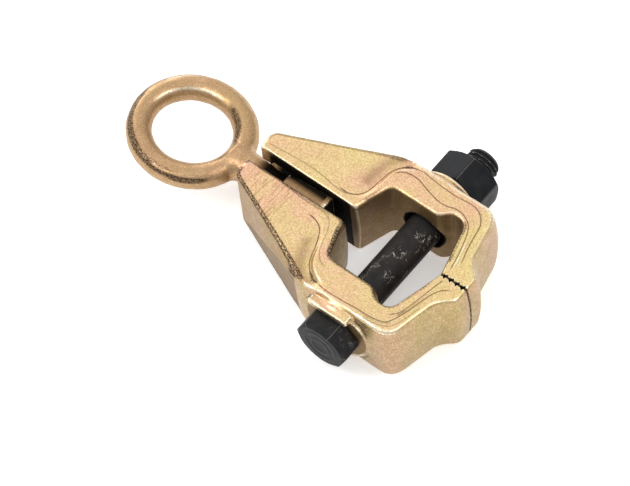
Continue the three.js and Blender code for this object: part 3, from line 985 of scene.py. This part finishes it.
def build_fasteners(material):
    """The bolt and the nut, with a painted sheen and wear on the bolt's upper side and painted
    highlights on the corners and the thread's crests.
    """
    for name, body, rings, closed in (
        ("hexagon_bolt", "cross_bolt", bolt_rings(), False),
        ("heavy_nut", "hex_nut", nut_rings(), True),
    ):
        points, faces = skin(rings, closed)
        x, y, z = points.T
        upper = ramp(-0.3, 0.6, (z - MID) / np.maximum(np.hypot(x, z - MID), 1))
        on_head = y < -SEAT_Y
        from_axis = np.hypot(x, z - MID)
        # Painted highlights on the thread's crests and the hexagons' corners, and a painted sheen with
        # wear on the bolt's upper side, on the head and in the throat.
        crest = 1.8 * (from_axis > BOLT_R - 0.2) * (from_axis < BOLT_R + 0.5) * (y > NUT_SIDE_Y)
        turn = np.degrees(np.arctan2(x, z - MID))
        first = BOLT_CORNER if name == "hexagon_bolt" else NUT_CORNER
        on_corner = np.abs((turn - first + 30) % 60 - 30) < 0.5 * CORNER_EASE
        corner = 1.7 * on_corner * (from_axis > BOLT_R + 3)
        rubbed_and_sheen = np.where(on_head, 0.45 * upper * (y > BOLT_FACE_Y + 1), upper * (np.abs(y) < THROAT_Y))
        rubbed_and_sheen = np.maximum(rubbed_and_sheen, np.maximum(crest, corner))
        piece = make_mesh(name, points, faces, {"rubbed_and_sheen": rubbed_and_sheen})
        piece.data.set_sharp_from_angle(angle=math.radians(32))
        finish_piece(piece, body, body, material)


# ---- the stage -----------------------------------------------------------------------------------
def aim(thing, place, target):
    """Put a thing in its place and point it at the target."""
    forward = (Vector(target) - Vector(place)).normalized()
    thing.rotation_euler = forward.to_track_quat("-Z", "Y").to_euler()
    thing.location = place


def build_camera():
    """A long lens at the photograph's viewing angle."""
    azimuth, elevation, roll = math.radians(44.892), math.radians(58.969), math.radians(-7.188)
    distance = 2.06903
    target = Vector((0.01197, -0.01475, 0.002))
    towards = Vector((
        math.cos(elevation) * math.sin(azimuth),
        -math.cos(elevation) * math.cos(azimuth),
        math.sin(elevation),
    ))
    right = (-towards).cross(Vector((0, 0, 1))).normalized()
    up = right.cross(-towards)
    rolled_right = math.cos(roll) * right + math.sin(roll) * up
    rolled_up = -math.sin(roll) * right + math.cos(roll) * up
    data = bpy.data.cameras.new("camera")
    data.sensor_width = 36
    data.lens = 227.56
    data.clip_end = 20
    camera = bpy.data.objects.new("camera", data)
    camera.matrix_world = Matrix((
        (rolled_right.x, rolled_up.x, towards.x, 0),
        (rolled_right.y, rolled_up.y, towards.y, 0),
        (rolled_right.z, rolled_up.z, towards.z, 0),
        (0, 0, 0, 1),
    ))
    camera.location = target + distance * towards
    bpy.context.scene.collection.objects.link(camera)
    bpy.context.scene.camera = camera


def build_floor():
    """A white sheet that glows slightly, so that the shadow on it stays light."""
    size = 6.0
    corners = [(-size, -size, 0), (size, -size, 0), (size, size, 0), (-size, size, 0)]
    mesh = bpy.data.meshes.new("floor")
    mesh.from_pydata([(x, y, -0.0002) for x, y, _ in corners], [], [(0, 1, 2, 3)])
    floor = bpy.data.objects.new("floor", mesh)
    material = bpy.data.materials.new("pale_floor")
    material.use_nodes = True
    shader = material.node_tree.nodes["Principled BSDF"]
    shader.inputs["Base Color"].default_value = (0.93, 0.93, 0.93, 1)
    shader.inputs["Roughness"].default_value = 0.9
    shader.inputs["Specular IOR Level"].default_value = 0.1
    shader.inputs["Emission Color"].default_value = (1.0, 1.0, 1.0, 1)
    shader.inputs["Emission Strength"].default_value = 0.38
    mesh.materials.append(material)
    bpy.context.scene.collection.objects.link(floor)


def area_light(name, place, size, power, tint):
    data = bpy.data.lights.new(name, "AREA")
    data.shape = "RECTANGLE"
    data.size, data.size_y = size
    data.energy = power
    data.color = tint
    light = bpy.data.objects.new(name, data)
    aim(light, place, (0, 0, 0.02))
    bpy.context.scene.collection.objects.link(light)


def build_light():
    """Three soft lights, and a bright sky that is brightest above the pull eye."""
    area_light("key", (-0.62, -0.72, 1.10), (0.5, 0.4), 4.5, (1.0, 0.985, 0.96))
    area_light("left", (-1.25, 0.55, 0.50), (0.8, 0.7), 4, (1.0, 1.0, 1.0))
    area_light("right", (0.70, 0.10, 1.20), (0.8, 0.8), 4, (1.0, 1.0, 1.0))
    world = bpy.data.worlds.new("studio")
    world.use_nodes = True
    tree = world.node_tree
    background = tree.nodes["Background"]
    background.inputs["Color"].default_value = (1.0, 0.99, 0.98, 1)
    towards_light = tree.nodes.new("ShaderNodeVectorMath")
    towards_light.operation = "DOT_PRODUCT"
    towards_light.inputs[1].default_value = (-0.60, 0.20, 0.77)
    tree.links.new(tree.nodes.new("ShaderNodeTexCoord").outputs["Generated"], towards_light.inputs[0])
    falloff = tree.nodes.new("ShaderNodeMapRange")
    falloff.interpolation_type = "SMOOTHSTEP"
    for key, limit in {"From Min": 0.1, "From Max": 1.0, "To Min": 0.62, "To Max": 1.16}.items():
        falloff.inputs[key].default_value = limit
    tree.links.new(towards_light.outputs["Value"], falloff.inputs["Value"])
    tree.links.new(falloff.outputs["Result"], background.inputs["Strength"])
    bpy.context.scene.world = world
    bpy.context.scene.view_settings.view_transform = "Standard"


gold = gold_plate("yellow_zinc_plate", 0.0)
deep_gold = gold_plate("deep_yellow_zinc_plate", 0.72)
black = black_oxide()
build_camera()
build_floor()
build_light()
build_jaws(gold)
build_eye(deep_gold)
build_fasteners(black)
